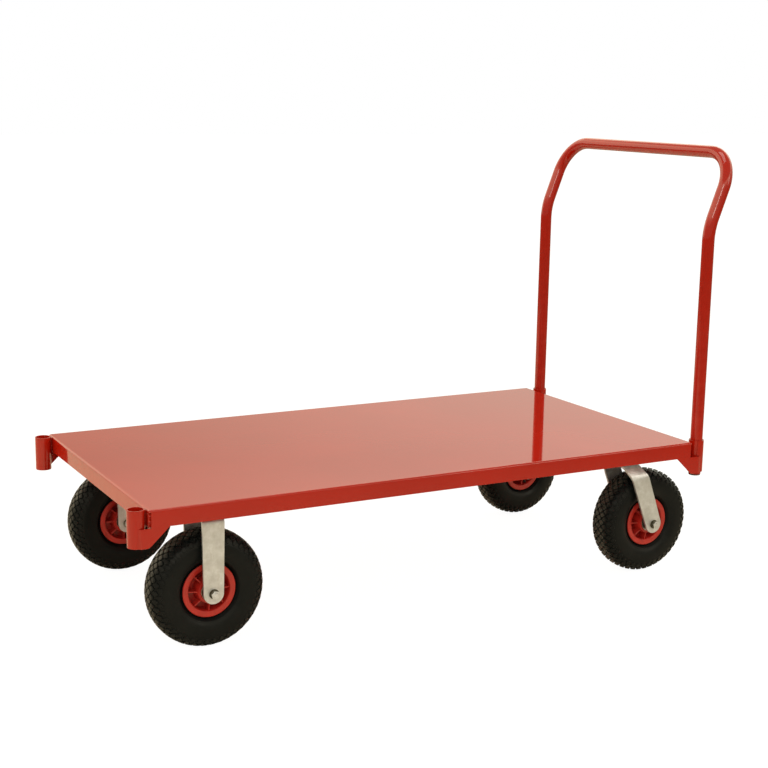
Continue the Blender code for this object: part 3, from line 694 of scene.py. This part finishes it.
def make_clamp_screws():
    """A hexagon screw with its washer in the inboard side of each rear socket."""
    for side, sy in SIDES:
        node = f"handle_clamp_screw_{side}"
        low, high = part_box(node)
        spot = middle(node)
        socket_low, socket_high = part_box(f"corner_socket_rear_{side}")
        seat = abs(middle(f"corner_socket_rear_{side}").y) - (socket_high.x - socket_low.x) / 2
        head_end, tip = sorted((abs(low.y), abs(high.y)))
        matrix = shift(spot.x, sy * seat, spot.z) @ turned("X", 90.0 * sy)
        bm = bmesh.new()
        washer(bm, 0.004, 0.0075, CLAMP_WASHER, matrix)
        head = matrix @ shift(0.0, 0.0, CLAMP_WASHER)
        hexagon(bm, CLAMP_FLATS, seat - head_end - CLAMP_WASHER, matrix=head)
        lathe(bm, [(0.0, 0.001), (0.004, 0.001), (0.004, seat - tip), (0.0, seat - tip)], 24, False, matrix)
        piece(f"clamp_screw_{side}", bm, ZINC, "frame", [node])


# ---- casters ------------------------------------------------------------------------------------
def wheel_matrix(tag):
    """From a wheel's own space, with its axle along Z and its outboard face up, to the frame."""
    joint = JOINTS[f"wheel_spin_{tag}"]
    axis = Vector(joint["axis"])
    turn = math.atan2(-axis.x, axis.y)
    outboard = -1 if tag.endswith("left") else 1
    lay = turned("X", -90.0 * outboard)
    return Matrix.Translation(joint["pos_m"]) @ Matrix.Rotation(turn, 4, "Z") @ lay, turn


def fork_body(tag):
    return "frame" if tag.startswith("front") else "swivel_" + tag.split("_")[1]


def make_fork(tag):
    """A fork bent from strip. Its centre line runs from one round foot over the crown to the other."""
    _, turn = wheel_matrix(tag)
    axle = Vector(JOINTS[f"wheel_spin_{tag}"]["pos_m"])
    low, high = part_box("fork_front_left")
    outer, foot = (high.y - low.y) / 2, axle.z - low.z
    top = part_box(f"fork_{tag}")[1].z
    swivel = tag.startswith("rear")
    rake, shoulder = (RAKE_RUN, SHOULDER_Z) if swivel else (0.0, top)
    lean = math.atan2(rake, shoulder - axle.z)
    leg = [(0.0, -outer, axle.z), (-rake, -outer, shoulder)]
    radii = [0, 0.034 if swivel else 0.012]
    if swivel:
        leg.append((-rake - 0.019, -CROWN_HALF, top))
        radii.append(0.022)
    line = leg + [(x, -y, z) for x, y, z in reversed(leg)]
    path = round_corners(line, radii + radii[::-1], 9)
    slant = Vector((math.cos(lean), 0.0, math.sin(lean)))
    rows = []
    for point in path:
        level = min(1.0, max(0.0, (point.z - axle.z - 0.09) / 0.05)) if swivel else 0.0
        across = slant.lerp(Vector((1.0, 0.0, 0.0)), level).normalized()
        half = foot - FOOT_TAPER * max(0.0, 1 - (point.z - axle.z) / FOOT_TAPER_RUN)
        rows.append([point + across * half * k / 4 for k in range(-4, 5)])
    foot -= FOOT_TAPER
    down = Vector((math.sin(lean), 0.0, -math.cos(lean)))
    for side, y in ((0, -outer), (-1, outer)):
        for step in range(1, 13):
            angle = math.radians(90.0 * step / 12)
            spot = Vector((0.0, y, axle.z)) + down * foot * math.sin(angle)
            row = [spot + slant * foot * math.cos(angle) * k / 4 for k in range(-4, 5)]
            rows.insert(0, row) if side == 0 else rows.append(row)
    sheet = Sheet()
    place = shift(axle.x, axle.y, 0.0) @ Matrix.Rotation(turn, 4, "Z")
    sheet.grid([[place @ point for point in row] for row in rows])
    bm = thicken(sheet.face_out((0, 0, 1)), FORK_SHEET, 0.0008)
    piece(f"fork_{tag}_strip", bm, ZINC, fork_body(tag), [f"fork_{tag}"], tidy=False)


def make_plate(tag):
    """The mounting plate, and four hexagon bolts with washers through it and the channel above."""
    node = f"caster_plate_{tag}"
    low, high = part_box(node)
    spot = middle(node)
    corners = [(low.x, low.y), (high.x, low.y), (high.x, high.y), (low.x, high.y)]
    bm = bmesh.new()
    prism(bm, round_corners(corners, PLATE_CORNER_R, 8, True), low.z, high.z)
    piece(f"{node}_pressing", bm, ZINC, "frame", [node], bevel=0.0006)
    bolts = bmesh.new()
    channel_top = high.z + 0.0035
    on_washer = shift(0.0, 0.0, PLATE_WASHER[2])
    for sx in (-1, 1):
        for sy in (-1, 1):
            x, y = spot.x + sx * BOLT_SPACING[0] / 2, spot.y + sy * BOLT_SPACING[1] / 2
            turn = turned("Z", 20.0 * sx + 13.0 * sy)
            under = shift(x, y, low.z) @ turned("X", 180.0) @ turn
            over = shift(x, y, channel_top) @ turn
            washer(bolts, *PLATE_WASHER, under)
            hexagon(bolts, PLATE_FLATS, 0.0052, matrix=under @ on_washer)
            washer(bolts, *PLATE_WASHER, over)
            hexagon(bolts, PLATE_FLATS, 0.0070, both=True, matrix=over @ on_washer)
            threaded(bolts, 0.0042, -0.004, 0.0125, M8_PITCH, over)
    piece(f"caster_bolts_{tag}", bolts, ZINC, "frame")


def make_swivel_head(side):
    """The ball race as two pressed tracks with a dust gap, and the kingpin's nut under the crown."""
    node = f"ball_race_rear_{side}"
    low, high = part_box(node)
    spot = middle(node)
    radius = (high.x - low.x) / 2
    height = high.z - low.z
    track = [(0.014, high.z), (radius - 0.003, high.z), (radius, high.z - 0.0022), (radius, high.z - 0.0042),
             (radius - 0.0030, high.z - 0.0046), (radius - 0.0030, high.z - 0.0056),
             (radius - 0.0006, high.z - 0.0060), (radius - 0.0014, high.z - height + 0.0012),
             (radius - 0.0040, low.z), (0.014, low.z)]
    bm = bmesh.new()
    radii = [0, 0.0016, 0.0012, 0.0003, 0.0002, 0.0002, 0.0003, 0.0010, 0.0008, 0]
    upright = shift(spot.x, spot.y, 0.0)
    lathe(bm, round_corners(track, radii, 3, True), 72, True, upright)
    piece(f"{node}_tracks", bm, ZINC, "frame", [node])
    node = f"kingpin_rear_{side}"
    low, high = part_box(node)
    nut_r = (high.x - low.x) / 2
    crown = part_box(f"fork_rear_{side}")[1].z - FORK_SHEET
    under = shift(spot.x, spot.y, crown - 0.0002) @ turned("X", 180.0)
    depth = crown - low.z
    bm = bmesh.new()
    washer(bm, 0.008, nut_r + 0.001, 0.0018, under)
    hexagon(bm, nut_r * math.sqrt(3), depth - 0.0045, both=True,
            matrix=under @ shift(0.0, 0.0, 0.0018) @ Matrix.Rotation(0.4, 4, "Z"))
    threaded(bm, 0.0075, 0.0, depth - 0.0004, KINGPIN_PITCH, under)
    pin = [(0.0, high.z), (0.008, high.z), (0.008, crown - 0.001), (0.0, crown - 0.001)]
    lathe(bm, pin, 32, False, upright)
    piece(f"{node}_nut", bm, ZINC, "frame", [node])


def make_axle(tag):
    """Spacer sleeve, and the axle bolt with its head inboard and its nut and thread outboard."""
    matrix, _ = wheel_matrix(tag)
    low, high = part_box("axle_bolt_front_left")
    fork_low, fork_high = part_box("fork_front_left")
    seat = (fork_high.y - fork_low.y) / 2
    end = JOINTS["wheel_spin_front_left"]["pos_m"][1] - low.y
    body = fork_body(tag)
    up = matrix @ shift(0.0, 0.0, seat)
    down = matrix @ turned("X", 180.0) @ shift(0.0, 0.0, seat)
    on_washer = shift(0.0, 0.0, WASHER)
    bm = bmesh.new()
    hexagon(bm, AXLE_FLATS, 0.0060, matrix=down @ on_washer)
    threaded(bm, 0.006, -0.012, end - seat + 0.0005, M12_PITCH, up)
    piece(f"axle_bolt_{tag}_hex", bm, ZINC, body, [f"axle_bolt_{tag}"])
    bm = bmesh.new()
    hexagon(bm, AXLE_FLATS, end - seat - WASHER - 0.0016, bore=0.0058, both=True,
            matrix=up @ on_washer @ Matrix.Rotation(0.26, 4, "Z"))
    outboard = matrix.to_3x3() @ Vector((0.0, 0.0, 1.0))
    bm.normal_update()
    # The nut's side faces take the darker zinc and its end faces stay bright: painted shade on the sides.
    for face in bm.faces:
        face.material_index = int(abs(face.normal.dot(outboard)) < 0.35)
    piece(f"axle_nut_{tag}_hex", bm, (ZINC, PAINTED_SHADE_ZINC), body, [f"axle_nut_{tag}"])
    # The washers in the darker zinc: painted shade around the nut.
    bm = bmesh.new()
    for matrix_side in (up, down):
        washer(bm, 0.0062, 0.0108, WASHER, matrix_side)
    piece(f"axle_washers_{tag}", bm, PAINTED_SHADE_ZINC, body)
    # The spacer sleeve in the darker zinc: painted shade in the gap between fork and hub.
    bm = bmesh.new()
    reach = seat - FORK_SHEET - 0.0003
    wall = [(0.0100, reach), (0.0100, -reach), (0.0065, -reach), (0.0065, reach)]
    lathe(bm, round_corners(wall, 0.0006, 2, True), 40, True, matrix)
    piece(f"axle_sleeve_{tag}_spacer", bm, PAINTED_SHADE_ZINC, body, [f"axle_sleeve_{tag}"])


# ---- tyres --------------------------------------------------------------------------------------
def tyre_side(radius, wheel_r):
    """Half width of the carcass at a radius, with a bead ring near the rim and a rib under the shoulder."""
    above = wheel_r - LUG_HEIGHT - TYRE_MIDDLE_R
    rise = above if radius > TYRE_MIDDLE_R else TYRE_LOWER_RISE
    share = min(1.0, abs(radius - TYRE_MIDDLE_R) / rise)
    width = TYRE_HALF_WIDTH * (1 - share ** TYRE_POWER) ** (1 / TYRE_POWER)
    width += 0.0012 * math.exp(-((radius - 0.0690) / 0.0016) ** 2)
    return width + 0.0006 * math.exp(-((radius - 0.1040) / 0.0009) ** 2)


def carcass_curve(wheel_r):
    """The carcass from the crown's middle down one side, as evenly sampled (radius, height) points."""
    crown = wheel_r - LUG_HEIGHT
    points = []
    for step in range(61):
        angle = math.radians(90.0 * step / 60)
        share = math.cos(angle) ** (2 / TYRE_POWER)
        radius = TYRE_MIDDLE_R + (crown - TYRE_MIDDLE_R) * share
        points.append((radius, tyre_side(radius, wheel_r) if step else 0.0))
    for step in range(1, 49):
        radius = TYRE_MIDDLE_R - (TYRE_MIDDLE_R - 0.0622) * step / 48
        points.append((radius, tyre_side(radius, wheel_r)))
    return points


def along_curve(points, distance):
    """Point and outward normal at a distance along a curve of (radius, height); negative is mirrored."""
    left, sign = abs(distance), -1 if distance < 0 else 1
    for first, second in zip(points, points[1:]):
        first, second = Vector(first), Vector(second)
        length = (second - first).length
        if left <= length or second == Vector(points[-1]):
            spot = first.lerp(second, left / length)
            along = (second - first) / length
            return Vector((spot.x, spot.y * sign)), Vector((along.y, -along.x * sign))
        left -= length
    return None


def add_lug(bm, curve, wheel_r, angle, offset, height):
    """One diamond tread block with cut corners, standing on the carcass."""
    half_round = math.pi * wheel_r / LUGS_AROUND * LUG_SHARE
    half_across = LUG_COLUMN * LUG_SHARE
    cut = 0.24
    corners = [(1 - cut, cut), (cut, 1 - cut), (-cut, 1 - cut), (-(1 - cut), cut),
               (-(1 - cut), -cut), (-cut, -(1 - cut)), (cut, -(1 - cut)), (1 - cut, -cut)]
    rings = []
    for size, lift in ((1.16, -0.0008), (1.02, height - 0.0007), (0.88, height)):
        ring = []
        for round_share, across_share in corners:
            spot, normal = along_curve(curve, offset + across_share * half_across * size)
            spot = spot + normal * lift
            turn = angle + round_share * half_round * size / wheel_r
            ring.append((spot.x * math.cos(turn), spot.x * math.sin(turn), spot.y))
        rings.append(ring_of(bm, ring))
    bridge(bm, rings[0], rings[1])
    bridge(bm, rings[1], rings[2])
    bm.faces.new(rings[2])


def tyre_mesh(wheel_r):
    """The carcass as one turned section round its cavity, and the tread's staggered columns of blocks."""
    curve = carcass_curve(wheel_r)
    side = [point for i, point in enumerate(curve) if i % 2 == 0]
    bead_seat = [(0.0606, 0.0262), (0.0525, 0.0256), (0.0525, 0.0190)]
    cavity = [(0.092 + 0.028 * math.cos(a), 0.031 * math.sin(a))
              for a in [math.radians(-125.0 + 250.0 * i / 16) for i in range(17)]]
    upper = side + bead_seat
    lower = [(r, -z) for r, z in upper[1:]]
    bm = bmesh.new()
    lathe(bm, list(reversed(upper)) + lower + cavity, 144)
    columns = 4
    for column in range(-columns, columns + 1):
        height = LUG_HEIGHT if abs(column) < 3 else LUG_HEIGHT * (0.92 if abs(column) == 3 else 0.62)
        for i in range(LUGS_AROUND):
            angle = math.tau * (i + 0.5 * (column % 2)) / LUGS_AROUND
            add_lug(bm, curve, wheel_r, angle, column * LUG_COLUMN, height)
    return smooth_mesh("tyre", bm, 48.0)


def rim_mesh():
    """Flanges, well, disc, hub and eight ribs on each side of the disc."""
    face = [(0.0510, 0.0258), (FLANGE_R, 0.0276), (FLANGE_R, RIM_HALF - 0.0006), (0.0560, RIM_HALF),
            (0.0478, RIM_HALF - 0.0012), (0.0462, RIM_HALF - 0.0050), (0.0450, 0.0060), (0.0295, 0.0064),
            (HUB_R, HUB_HALF - 0.003), (HUB_R - 0.0008, HUB_HALF), (0.0213, HUB_HALF)]
    radii = [0, 0.0004, 0.0014, 0.0030, 0.0016, 0.0020, 0.0020, 0.0020, 0.0010, 0.0006, 0.0003]
    upper = round_corners(face, radii, 4)
    lower = [(p[0], -p[1]) for p in reversed(upper)]
    bm = bmesh.new()
    lathe(bm, list(reversed(lower + upper)), 96)
    rib = [(0.0268, 0.0040), (0.0268, 0.0310), (0.0290, 0.0306), (0.0440, 0.0266), (0.0462, 0.0262),
           (0.0462, 0.0040)]
    for sz in (-1, 1):
        for i in range(RIB_COUNT):
            turn = Matrix.Rotation(math.tau * i / RIB_COUNT, 4, "Z")
            rings = []
            for st in (-1, 1):
                flank = [(r, st * (0.0017 - 0.02 * (h - 0.004)), sz * h) for r, h in rib]
                rings.append(ring_of(bm, flank, turn))
            bridge(bm, *rings)
            for ring in rings:
                bm.faces.new(ring)
    return smooth_mesh("rim", bm, 42.0)


def make_valve(tag, body, matrix):
    """The inner tube's valve, in the rim's inboard recess between two ribs."""
    turn = Matrix.Rotation(math.tau / RIB_COUNT * 1.5, 4, "Z")
    place = matrix @ turn @ shift(0.0468, 0.0, -0.0175) @ turned("Y", -118.0)
    stem = [(0.0, -0.003), (0.0042, -0.003), (0.0040, 0.004), (0.0030, 0.0065), (0.0026, 0.0150),
            (0.0033, 0.0152), (0.0033, 0.0195), (0.0026, 0.0208), (0.0, 0.0208)]
    bm = bmesh.new()
    lathe(bm, stem, 24, False, place)
    piece(f"valve_{tag}", bm, BLACK, body)


def make_bearing(node, body, matrix, sign):
    """A ball bearing's two rings in the hub's end, with the black seal between them."""
    face = HUB_HALF - 0.0003
    rings = [(0.0106, face), (0.0124, face), (0.0126, face - 0.0012), (0.0184, face - 0.0012),
             (0.0186, face), (0.0210, face), (0.0210, face - 0.012), (0.0106, face - 0.012)]
    bm = bmesh.new()
    lathe(bm, [(r, sign * h) for r, h in rings], 48, True, matrix)
    piece(f"{node}_rings", bm, STEEL, body, [node], bevel=0.0003)
    seal = [(0.0127, face - 0.0011), (0.0127, face - 0.0006), (0.0145, face - 0.0003),
            (0.0166, face - 0.0003), (0.0183, face - 0.0007), (0.0183, face - 0.0011)]
    bm = bmesh.new()
    lathe(bm, [(r, sign * h) for r, h in seal], 48, True, matrix)
    piece(f"{node}_seal", bm, BLACK, body)


def make_wheels():
    wheel_r = JOINTS["wheel_spin_front_left"]["pos_m"][2]
    tyre, rim = tyre_mesh(wheel_r), rim_mesh()
    for tag in TAGS:
        body = f"wheel_{tag}"
        matrix, _ = wheel_matrix(tag)
        show(f"tyre_{tag}_detail", tyre, RUBBER, body, [f"tyre_{tag}"], place=matrix)
        show(f"rim_{tag}_detail", rim, PLASTIC, body, [f"rim_{tag}"], 0.0005, matrix)
        make_valve(tag, body, matrix)
        make_bearing(f"bearing_outer_{tag}", body, matrix, 1)
        make_bearing(f"bearing_inner_{tag}", body, matrix, -1)


# ---- studio -------------------------------------------------------------------------------------
WARM = (1.0, 0.87, 0.63)      # of the studio's own light, which the backdrop's white hides from the camera
NEUTRAL = (1.0, 0.99, 0.82)
BACK_DIM, BACK_BRIGHT = 0.66, 1.15
BAND_UNIT = 0.34              # the band's level that stands for a world strength of 1
BAND = ((0.0, 0.30), (0.15, 0.31), (0.25, 0.36), (0.34, 0.62), (0.41, 0.80), (0.46, 1.35), (0.54, 1.20),
        (0.62, 0.36), (1.0, 0.27))  # (sine of the height above the horizon, level)
PANEL = Vector((-0.33, 0.90, 0.20)).normalized()
FLOOR_LIT = (-0.7, 0.8, 0.0)  # where the floor's painted pool of light is palest, to the rays that the camera doesn't see
FLOOR_NEAR = (0.97, 0.90, 0.77, 1.0)
FLOOR_FAR = (0.26, 0.24, 0.20, 1.0)
LAMP_TARGET = Vector((0.0, 0.0, 0.3))
CAMERA_FROM_DECK = (-1.63788, -3.09354, 1.18158)  # from the deck's centre line, on the floor


def make_floor():
    """Near white to the camera, with a faint contact shadow. To other rays warm, with a painted pool of
    light: pale near one spot and darker far away.
    """
    material = bpy.data.materials.new("studio_floor")
    material.use_nodes = True
    tree = material.node_tree
    tree.nodes.remove(tree.nodes["Principled BSDF"])
    nodes = Nodes(tree)
    pale = nodes.node("ShaderNodeBsdfDiffuse", {"Color": (0.14, 0.14, 0.14, 1.0)}).outputs[0]
    glow = nodes.node("ShaderNodeEmission", {"Strength": 0.955}).outputs[0]
    seen = nodes.node("ShaderNodeAddShader", {0: pale, 1: glow}).outputs[0]
    # For the rays that the camera doesn't see, the floor's colour falls from pale to dark with distance: a
    # painted pool of light.
    away = nodes.vector("DISTANCE", nodes.node("ShaderNodeTexCoord").outputs["Object"], FLOOR_LIT)["Value"]
    tone = nodes.blend(nodes.spread(away, 1.5, 3.3), FLOOR_NEAR, FLOOR_FAR)
    grey = nodes.node("ShaderNodeBsdfDiffuse", {"Color": tone}).outputs[0]
    ray = nodes.node("ShaderNodeLightPath").outputs["Is Camera Ray"]
    choice = nodes.node("ShaderNodeMixShader", {0: ray, 1: grey, 2: seen}).outputs[0]
    tree.links.new(choice, tree.nodes["Material Output"].inputs["Surface"])
    mesh = bpy.data.meshes.new("floor")
    half = 30.0
    corners = [(-half, -half, 0.0), (half, -half, 0.0), (half, half, 0.0), (-half, half, 0.0)]
    mesh.from_pydata(corners, [], [(0, 1, 2, 3)])
    mesh.materials.append(material)
    obj = bpy.data.objects.new("floor", mesh)
    bpy.context.scene.collection.objects.link(obj)


def make_world():
    """White to the camera. To other rays a studio with a band of light some 30 degrees up, whiter and
    brighter behind on the right, and with a soft panel behind on the left."""
    world = bpy.data.worlds.new("studio")
    bpy.context.scene.world = world
    world.use_nodes = True
    tree = world.node_tree
    nodes = Nodes(tree)
    place = nodes.node("ShaderNodeTexCoord").outputs["Generated"]
    right = (math.sin(math.radians(58.0)), math.cos(math.radians(58.0)), 0.0)
    side = nodes.spread(nodes.vector("DOT_PRODUCT", place, right)["Value"], 0.70, 0.96)
    dim = (*[c * BACK_DIM for c in WARM], 1.0)
    bright = (*[c * BACK_BRIGHT for c in NEUTRAL], 1.0)
    tint = nodes.blend(side, dim, bright)
    height = nodes.node("ShaderNodeSeparateXYZ", {0: place}).outputs["Z"]
    band = nodes.node("ShaderNodeValToRGB", {0: height})
    for _ in range(len(BAND) - 2):
        band.color_ramp.elements.new(0.5)
    for element, (place_z, level) in zip(band.color_ramp.elements, BAND):
        element.position = place_z
        element.color = (level, level, level, 1.0)
    panel = nodes.spread(nodes.vector("DOT_PRODUCT", place, PANEL)["Value"], 0.89, 0.94, 0.0, 1.1)
    strength = nodes.math("MAXIMUM", band.outputs["Color"], panel)
    light = nodes.vector("MULTIPLY", tint, strength)[0]
    scale = {0: light, "Scale": 1 / BAND_UNIT}
    whole = nodes.node("ShaderNodeVectorMath", scale, operation="SCALE").outputs[0]
    ray = nodes.node("ShaderNodeLightPath").outputs["Is Camera Ray"]
    choice = nodes.blend(ray, whole, (1.0, 1.0, 1.0, 1.0))
    tree.links.new(choice, tree.nodes["Background"].inputs["Color"])


def make_light(name, place, size, energy, color):
    """A rectangular lamp that is aimed at the trolley."""
    data = bpy.data.lights.new(name, "AREA")
    data.shape = "RECTANGLE"
    data.size, data.size_y = size
    data.energy = energy
    data.color = color
    light = bpy.data.objects.new(name, data)
    bpy.context.scene.collection.objects.link(light)
    light.location = place
    light.rotation_euler = (LAMP_TARGET - light.location).to_track_quat("-Z", "Y").to_euler()


def make_camera():
    """The viewpoint: low, in front of the left side, looking towards the rear."""
    yaw, pitch, roll = math.radians(28.252), math.radians(11.615), math.radians(0.893)
    data = bpy.data.cameras.new("camera")
    data.sensor_width = 36.0
    data.lens = 68.74
    data.shift_x, data.shift_y = 0.0040, 0.0063
    camera = bpy.data.objects.new("camera", data)
    bpy.context.scene.collection.objects.link(camera)
    ahead = Vector((math.sin(yaw) * math.cos(pitch), math.cos(yaw) * math.cos(pitch), -math.sin(pitch)))
    right = Vector((math.cos(yaw), -math.sin(yaw), 0.0))
    up = right.cross(ahead)
    tilted_right = right * math.cos(roll) + up * math.sin(roll)
    tilted_up = up * math.cos(roll) - right * math.sin(roll)
    turn = Matrix((tilted_right, tilted_up, -ahead)).transposed()
    camera.matrix_world = shift(DECK_X, 0.0, 0.0) @ shift(*CAMERA_FROM_DECK) @ turn.to_4x4()
    bpy.context.scene.camera = camera


# ---- build --------------------------------------------------------------------------------------
make_camera()
make_floor()
make_world()
make_light("key", (2.6, -3.4, 2.2), (1.3, 1.3), 14.0, (1.0, 0.93, 0.80))
make_light("rim", (-2.6, -3.4, 3.2), (0.9, 0.9), 20.0, (1.0, 0.95, 0.86))
make_light("top", (0.2, 0.3, 3.4), (1.6, 1.2), 17.0, (1.0, 0.96, 0.88))
bpy.context.scene.view_settings.view_transform = "Standard"

make_deck_shell()
for channel, thickness, bend in (("cross_channel_front", 0.003, 0.006), ("cross_channel_rear", 0.003, 0.006),
                                 ("deck_stiffener_1", 0.002, 0.004), ("deck_stiffener_2", 0.002, 0.004)):
    make_channel(channel, thickness, bend)
make_welds()
make_handle()
make_clamp_screws()
for wheel_tag in TAGS:
    make_plate(wheel_tag)
    make_fork(wheel_tag)
    make_axle(wheel_tag)
for side_name, _ in SIDES:
    make_swivel_head(side_name)
make_wheels()
for node_name, node_object in frame["nodes"].items():
    if node_name.startswith("inner_tube"):
        node_object.data.materials.clear()
        node_object.data.materials.append(TUBE)
